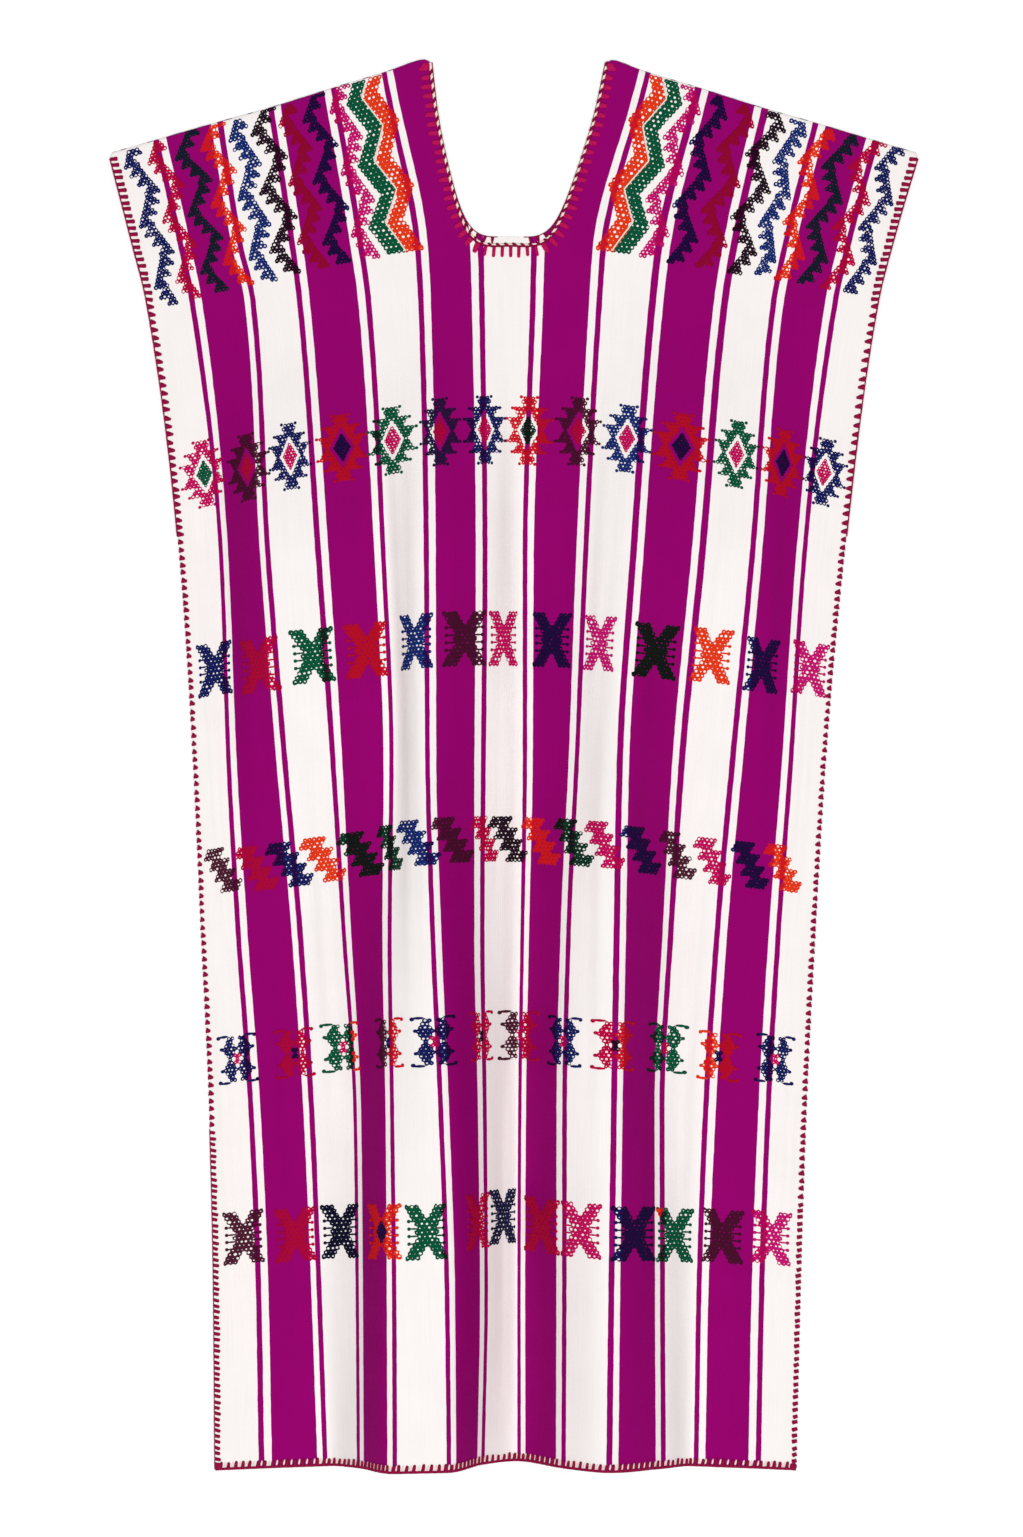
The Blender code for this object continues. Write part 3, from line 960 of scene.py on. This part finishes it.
def shoulder_parts(side):
    sign = -1.0 if side == "right" else 1.0
    half_down = YOKE_END / 2
    parts = []

    def weave(middle, cells, yarn, spread=STEP):
        cells = cells * (sign, 1.0)
        place = WEB_WIDTH - middle if side == "right" else middle
        colours = yarn_colour(yarn, place + cells[:, 0] * spread)
        parts.append(net(cells, spread, place, half_down, colours, int(middle)))

    end, less = ZIGZAG_ENDS[side]
    spread = TOOTH_CELL / CELL_ACROSS
    for yarn, (middle, *shape) in zip(ZIGZAG_YARNS, ZIGZAGS[side]):
        spots = toothed(end - less * middle, *shape)
        cells = paired(spots[:, 0] / spread, (half_down - spots[:, 1]) / STEP)
        weave(middle, cells, yarn, spread)
    *bands, _, turns = CHEVRONS[side]
    for yarn, (middle, half_width) in zip(("green", "orange"), bands):
        def band(x, y):
            down = half_down - y * STEP
            off = x * STEP + CHEVRON_SWING - 2 * CHEVRON_SWING * swing(down, *turns)
            return (np.abs(off) < half_width) & (down > -FOLD_REACH) & (down < CHEVRON_END)

        weave(middle, cells_of(band, CHEVRON_ROOM, (half_down + FOLD_REACH) / STEP), yarn)
    return parts


# ---- strands and stitches
PLY_PITCH = 0.9    # mm of the weave's pattern from side to side of a strand


def tubes(points, outs, wide, high, sides=8):
    """Strands along rows of points. outs point away from the cloth. wide and high are half of a
    strand's sizes."""
    count, length = points.shape[:2]
    wide, high = (np.broadcast_to(np.asarray(v, float), (count, length)) for v in (wide, high))
    along = unit(np.gradient(points, axis=1))
    side = unit(np.cross(along, outs))
    up = np.cross(side, along)
    angles = np.arange(sides) * 2 * np.pi / sides
    ring = (
        points[:, :, None]
        + side[:, :, None] * (np.cos(angles) * wide[..., None])[..., None]
        + up[:, :, None] * (np.sin(angles) * high[..., None])[..., None]
    )
    steps = np.linalg.norm(np.diff(points, axis=1), axis=2)
    run = np.array([running(row) for row in steps])
    shape = (count, length, sides)
    place = [np.broadcast_to(v, shape) for v in (np.arange(sides) * PLY_PITCH, run[..., None])]
    index = np.arange(count * length * sides).reshape(shape)
    faces = [quads(closed(index, 2))]
    for loop in (index[:, 0], index[:, -1, ::-1]):
        faces += [loop[:, (0, k, k + 1, k + 2)] for k in range(1, sides - 2, 2)]
    return [ring.reshape(-1, 3), np.concatenate(faces), np.stack(place, axis=3).reshape(-1, 2)]


def strands(across, down, lift, wide, high, sides=8):
    """Strands that follow the front's outer face. across and down have a row for each."""
    across, down = np.atleast_2d(across), np.atleast_2d(down)
    points, outs = over_cloth(across, down, np.broadcast_to(lift, across.shape))
    return tubes(points, outs, wide, high, sides)


LEG_BOW = 0.25     # how much a leg's middle rises
LEG_SHARE = np.array([0.0, 0.12, 0.35, 0.62, 0.85, 0.96, 1.0])
LEG_WIDE = {
    # half widths along a leg from the edge inwards, in mm
    "bulb": (1.6, 1.5, 1.5, 1.6, 1.75, 1.45, 0.6),
    "tooth": (2.3, 2.3, 2.0, 1.6, 1.2, 0.9, 0.4),
    "plain": (1.5, 1.4, 1.35, 1.35, 1.3, 1.0, 0.4),
    "wide": (2.2, 2.3, 2.3, 2.1, 1.8, 1.3, 0.5),
    "taper": (1.9, 1.6, 1.4, 1.35, 1.2, 0.9, 0.4),
}


def legs(edge, inward, kind, lift=0.4, high=0.9):
    """Legs of blanket stitches, from points on the edge to points inward, both across and down."""
    edge, inward = np.asarray(edge, float), np.asarray(inward, float)
    spots = edge[:, None] + (inward - edge)[:, None] * LEG_SHARE[:, None]
    wide = np.array(LEG_WIDE[kind])
    rise = lift + LEG_BOW * np.sin(np.pi * LEG_SHARE)
    return strands(spots[..., 0], spots[..., 1], rise, wide, np.minimum(high, wide))


def wobble(count, seed):
    """Steady numbers from -0.5 to 0.5."""
    return scatter(paired(np.arange(count), np.full(count, seed)), seed) - 0.5


def knots(across, down, wide, long, lift):
    """Rounded knots over the cloth, long along the warp."""
    turn = np.linspace(-0.96, 0.96, 9)
    spots = np.asarray(down, float)[:, None] + long * turn
    rows = np.broadcast_to(np.asarray(across, float)[:, None], spots.shape)
    swell = np.sqrt(1 - turn ** 2)
    return strands(rows, spots, lift, wide * swell, 0.95 * swell)


ARMHOLE_END = 318.0
LOW_LEFT = 800.0             # where the left side's closing stitches change
SIDE_STITCHES = {
    # until down, from stitch to stitch, reach inwards, kind of leg
    "left": (
        (130.0, 5.8, 5.7, "bulb"), (ARMHOLE_END, 6.3, 4.9, "tooth"),
        (LOW_LEFT, 6.4, 4.4, "tooth"), (HEM, 4.7, 4.5, "plain"),
    ),
    "right": (
        (130.0, 5.8, 5.7, "bulb"), (ARMHOLE_END, 7.2, 5.0, "tooth"),
        (860.0, 6.2, 4.5, "tooth"), (HEM, 5.3, 4.4, "bulb"),
    ),
}
SIDE_STITCH_DRIFT = 0.16     # as a share of the way from stitch to stitch
REACH_DRIFT = 1.1
LEG_LEAN = (-0.6, 0.8)       # how far down from its place a leg starts and ends
# Stretches of the selvages whose edge yarn shows: from and to down, and its half thickness.
EDGE_LINES = {
    "left": ((0.0, ARMHOLE_END, 0.78), (LOW_LEFT, HEM, 0.5)),
    "right": ((0.0, ARMHOLE_END, 0.78),),
}
EDGE_STRIDE = 2.5


def selvage_stitches(side):
    """Blanket stitches along one selvage: open round the armhole, then closing the side."""
    edge, inward = (0.0, 1.0) if side == "left" else (WEB_WIDTH, -1.0)
    high, low = LEG_LEAN
    parts, place = [], 1.0
    for seed, (until, pitch, reach, kind) in enumerate(SIDE_STITCHES[side]):
        count = int((min(until, HEM - 3.0) - place) / pitch) + 1
        slid, longer, lower = wobble(3 * count, 5 + seed + len(side)).reshape(3, count)
        downs = place + pitch * (np.arange(count) + SIDE_STITCH_DRIFT * slid)
        place += pitch * count
        starts = paired(np.full(count, edge - 0.2 * inward), downs + high)
        ends = paired(edge + inward * (reach + REACH_DRIFT * longer), downs + low + 0.8 * lower)
        parts.append(legs(starts, ends, kind))
    for first, last, thick in EDGE_LINES[side]:
        rows = np.linspace(first, last, int((last - first) / EDGE_STRIDE))
        line = cloth_points(np.full(len(rows), edge), rows) + (-0.4 * inward, 0.0, 0.2)
        up = np.tile([0.0, 0.0, 1.0], (len(rows), 1))
        thick = thick + 0.14 * wobble(len(rows), 9)
        parts.append(tubes(line[None], up[None], thick, 2 * thick))
    return parts


HEM_PITCH = 5.9
HEM_START = 4.0
HEM_REACH = 6.0
HEM_LEAN = 1.1          # how far to the right a leg leans
HEM_EDGE = 0.66         # half the edge yarn's thickness
TICK_LONG = 4.2
TICK_WIDE = (0.7, 0.85, 0.75, 0.3)
CORNER_KNOT = 2.6       # the knots' places in from the hem's corners


def hem_stitches():
    """Blanket stitches along the hem, and the cream ticks of the rolled edge between them."""
    count = int((WEB_WIDTH - 5.0) / HEM_PITCH)
    slid, leaning, longer = wobble(3 * count, 11).reshape(3, count)
    place = HEM_START + HEM_PITCH * (np.arange(count) + 0.18 * slid)
    edge = paired(place, np.full(count, HEM + 0.3))
    inward = paired(place + HEM_LEAN + 0.9 * leaning, HEM - HEM_REACH - 1.2 * longer)
    columns = np.linspace(0.0, WEB_WIDTH, 280)
    level = np.full(len(columns), HEM)
    thick = HEM_EDGE + 0.16 * wobble(len(columns), 13)
    line = cloth_points(columns, level) - (0.0, 0.4, 0.0)
    corners = [CORNER_KNOT, WEB_WIDTH - CORNER_KNOT]
    parts = [
        legs(edge, inward, "taper"),
        tubes(line[None], cloth_frame(columns, level)[2][None], thick, thick * 1.7),
        strands(columns, level - 0.6, 0.3, 0.7, 0.6),
        knots(corners, [HEM - CORNER_KNOT] * 2, 2.9, 3.0, 0.6),
    ]
    between = place[:-1] + 0.5 * np.diff(place) + 0.4
    across = between[:, None] + np.linspace(0.0, 0.9, len(TICK_WIDE))
    down = HEM - 1.6 - np.linspace(0.0, TICK_LONG, len(TICK_WIDE))
    ticks = strands(across, np.broadcast_to(down, across.shape), 0.2, TICK_WIDE, 0.4, sides=6)
    return parts, [ticks]


def neck_line(inset, count, outwards=0.0):
    """The neck edge from the left shoulder round to the right one, moved out from the slot."""
    out, down = neck_curve(inset, count)
    across = np.concatenate([NECK_MIDDLE - out, (NECK_MIDDLE + out[::-1])[1:]])
    down = np.concatenate([down, down[::-1][1:]])
    way = unit(paired(np.gradient(across), np.gradient(down)))
    return across - way[:, 1] * outwards, down + way[:, 0] * outwards


def even_steps(across, down, pitch):
    """Places at even steps along a line, with the ways there along the line and out of the slot."""
    run = running(np.hypot(np.diff(across), np.diff(down)))
    marks = np.arange(pitch * 0.5, run[-1], pitch)

    def at(where):
        return paired(np.interp(where, run, across), np.interp(where, run, down))

    way = unit(at(marks + 1.0) - at(marks - 1.0))
    return at(marks), way, paired(-way[:, 1], way[:, 0])


NECK_PITCH = 6.2
NECK_REACH = 8.4
NECK_KNOT = (3.4, 1.4)                     # the knots' places from the slot and from the fold
WRAP_SLANT = (-2.1, -1.5, 0.0, 1.5, 2.1)
WRAP_WIDE = (0.4, 1.2, 1.3, 1.2, 0.4)


def neck_stitches():
    """The neck's legs, its cream roll, and the dark yarn that wraps the roll and edges the slot."""
    spots, way, outward = even_steps(*neck_line(FRONT_NECK_INSET, 120), NECK_PITCH)
    longer, slid = wobble(2 * len(spots), 17).reshape(2, -1, 1)
    ends = spots + outward * (NECK_REACH + 1.6 * longer) + way * 0.9 * slid
    low = np.abs(way[:, 0]) > 0.9
    off, down = NECK_KNOT
    tops = np.array([NECK_MIDDLE - NECK_TOP - off, NECK_MIDDLE + NECK_TOP + off])
    stitches = [
        legs((spots + outward * 1.4)[low], ends[low], "plain"),
        legs((spots + outward)[~low], ends[~low], "wide", lift=0.2, high=0.7),
        knots(tops, [down] * 2, 3.6, 2.2, 0.8),
    ]
    roll = [strands(*neck_line(FRONT_NECK_INSET, 150, -0.3), 0.0, 1.05, 0.8)]
    slant = np.array(WRAP_SLANT)[:, None]
    wraps = (spots - outward * 0.3)[:, None] + way[:, None] * (slant + 0.5 * NECK_PITCH)
    wraps = wraps + outward[:, None] * slant * 0.4
    dark = [strands(wraps[..., 0], wraps[..., 1], 0.1, WRAP_WIDE, 0.9)]
    across, down = neck_line(FRONT_NECK_INSET, 150, 0.6)
    bottom = down > 0.93 * NECK_DEPTH
    dark.append(strands(across[bottom], down[bottom], 0.5, 0.8, 0.8))
    return stitches, roll, dark


BACK_PITCH = 5.6
BACK_REACH = 4.6
BACK_BARE = 9.0                 # to either side of the middle
BACK_STITCHED = (11.0, 33.0)    # from the middle
BACK_WIDE = (1.5, 1.3, 0.9, 0.6)


def back_neck_edge():
    """Yarn over the back's own edge, with its stitches either side of the middle."""
    across, down = neck_line(BACK_NECK_INSET, 150)
    out = cloth_frame(across, down)[2]
    points = cloth_points(across, down) - out * 0.75
    off = across - NECK_MIDDLE
    parts = []
    for half in (off < -BACK_BARE, off > BACK_BARE):
        parts.append(tubes(points[half][None], out[half][None], 0.55, 0.75))
    spots, _, outward = even_steps(across, down, BACK_PITCH)
    middle = np.abs(spots[:, 0] - NECK_MIDDLE)
    keep = (middle > BACK_STITCHED[0]) & (middle < BACK_STITCHED[1]) & (spots[:, 1] > 90.0)
    share = np.array([0.0, 0.3, 0.7, 1.0])[:, None]
    rows = spots[keep][:, None] + outward[keep][:, None] * BACK_REACH * share
    flat = rows.reshape(-1, 2).T
    outs = cloth_frame(*flat)[2].reshape(*rows.shape[:2], 3)
    under = cloth_points(*flat).reshape(*rows.shape[:2], 3) + outs * 0.1
    parts.append(tubes(under, outs, BACK_WIDE, 0.4))
    return parts


DASHES_END = 250.0
DASH_LONG = (4.0, 9.0)       # the shortest and the longest
DASH_GAP = (10.0, 19.0)
DASH_WIDE = (0.1, 0.34, 0.4, 0.34, 0.1)
DASH_TURN = 1.25             # how far round the fold they are, as a share of its reach


def fold_dashes():
    """Short faint stitches along the shoulder fold."""
    rows = []
    for side in (0, 1):
        place = 9.0
        drift = iter(wobble(80, 21 + side) + 0.5)
        while place < DASHES_END:
            spots = np.linspace(place, place + np.interp(next(drift), (0, 1), DASH_LONG), 5)
            rows.append(spots if side == 0 else WEB_WIDTH - spots)
            place = spots[-1] + np.interp(next(drift), (0, 1), DASH_GAP)
    points, out = over_cloth(np.array(rows), -DASH_TURN * FOLD_REACH, 0.0)
    return [tubes(points, out, DASH_WIDE, 0.3, sides=6)]


def chevron_lines():
    """The cream lines between the green chevrons and the orange ones."""
    down = np.linspace(0.5, CHEVRON_END, 120)
    parts = []
    for side, (*_, middle, turns) in CHEVRONS.items():
        across = middle - CHEVRON_SWING + 2 * CHEVRON_SWING * swing(down, *turns)
        across = WEB_WIDTH - across if side == "right" else across
        parts.append(strands(across, down, 0.45, 0.7, 0.5, sides=6))
    return parts


def shoulder_fold(material):
    """The web's turn over the shoulders, from the front's outer face to the back's."""
    parts = []
    turns = np.linspace(0.0, np.pi, 13)
    for edge, slot in ((0.0, NECK_MIDDLE - NECK_TOP), (WEB_WIDTH, NECK_MIDDLE + NECK_TOP)):
        across = np.linspace(edge, slot, 110)
        down = np.zeros(len(across))
        middle = cloth_points(across, down)
        _, on, out = cloth_frame(across, down)
        reach = fold_reach(across)[:, None]
        rings = [middle + out * TOP * np.cos(t) - on * reach * np.sin(t) for t in turns]
        places = [paired(across, down - FOLD_REACH * t) for t in turns]
        faces = quads(np.arange(len(turns) * len(across)).reshape(len(turns), -1).T)
        faces = faces if slot > edge else faces[:, ::-1]
        parts.append([np.concatenate(rings), faces, np.concatenate(places)])
    return make_object("shoulder_fold", material, *joined(parts))


# ---- the blouse
cotton = striped_cotton()
brocade = brocade_yarn()
plied = {name: plied_yarn(name) for name in PLIED_YARNS}

NEAR = LAYER_GAP / 2
front = cloth_shell("front_cloth", NEAR, TOP, FRONT_NECK_INSET, cotton)
back = cloth_shell("back_cloth", -TOP, -NEAR, BACK_NECK_INSET, cotton)
fold = shoulder_fold(cotton)
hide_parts("front_panel")
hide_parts("back_panel")

neck_legs, neck_roll, neck_dark = neck_stitches()
hem_legs, hem_ticks = hem_stitches()
SEWING = {
    "side_stitches_left": (selvage_stitches("left"), "stitch_yarn"),
    "side_stitches_right": (selvage_stitches("right"), "stitch_yarn"),
    "hem_stitches": (hem_legs, "stitch_yarn"),
    "hem_roll": (hem_ticks, "cream_yarn"),
    "neck_stitches": (neck_legs, "neck_yarn"),
    "neck_roll": (neck_roll, "cream_yarn"),
    "neck_edge": (neck_dark + back_neck_edge(), "edge_yarn"),
    "chevron_lines": (chevron_lines(), "cream_yarn"),
    "fold_stitches": (fold_dashes(), "fold_yarn"),
}
trims = [brocade_object("brocade_yoke", shoulder_parts("left") + shoulder_parts("right"), brocade)]
trims += [motif_row(kind, brocade) for kind in MOTIF_ROWS]
trims += [
    make_object(name, plied[yarn], *joined(parts)) for name, (parts, yarn) in SEWING.items()
]

for piece in [front, back, fold] + trims:
    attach(piece, "root")


# ---- floor, lights and camera
PAPER_WHITE = 0.975
PAPER_HEIGHT = -0.0006    # metres
SKY_STRENGTH = 0.3

floor_mesh = bpy.data.meshes.new("floor")
floor_mesh.from_pydata([(-6, -6, 0), (6, -6, 0), (6, 6, 0), (-6, 6, 0)], [], [(0, 1, 2, 3)])
floor = add_to_scene("floor", floor_mesh)
floor.location.z = PAPER_HEIGHT
paper = Nodes("pale_floor", 0.9, specular=0.1)
paper.dye((PAPER_WHITE,) * 3)
floor_mesh.materials.append(paper.material)


def area_light(name, at, size, power):
    """A round lamp that shines on the frame's origin."""
    data = bpy.data.lights.new(name, "AREA")
    data.shape = "DISK"
    data.size = size
    data.energy = power
    light = add_to_scene(name, data)
    light.location = at
    light.rotation_euler = (-Vector(at)).to_track_quat("-Z", "Y").to_euler()


area_light("key", (1.2, -1.5, 8.0), 3.1, 355.0)
area_light("fill", (-1.8, -1.0, 8.0), 3.8, 206.0)

world = bpy.data.worlds.new("studio")
world.use_nodes = True
sky = world.node_tree.nodes["Background"].inputs
sky["Color"].default_value = (1.0, 1.0, 1.0, 1.0)
sky["Strength"].default_value = SKY_STRENGTH
bpy.context.scene.world = world
bpy.context.scene.view_settings.view_transform = "Standard"

camera_data = bpy.data.cameras.new("camera")
camera_data.lens = camera_data.sensor_width * (CAMERA_AT[2] - TOP) / (VIEW_HEIGHT * STEP)
camera_data.clip_end = 50.0
camera = add_to_scene("camera", camera_data)
camera.location = Vector(CAMERA_AT) * MM
bpy.context.scene.camera = camera

bpy.context.view_layer.update()
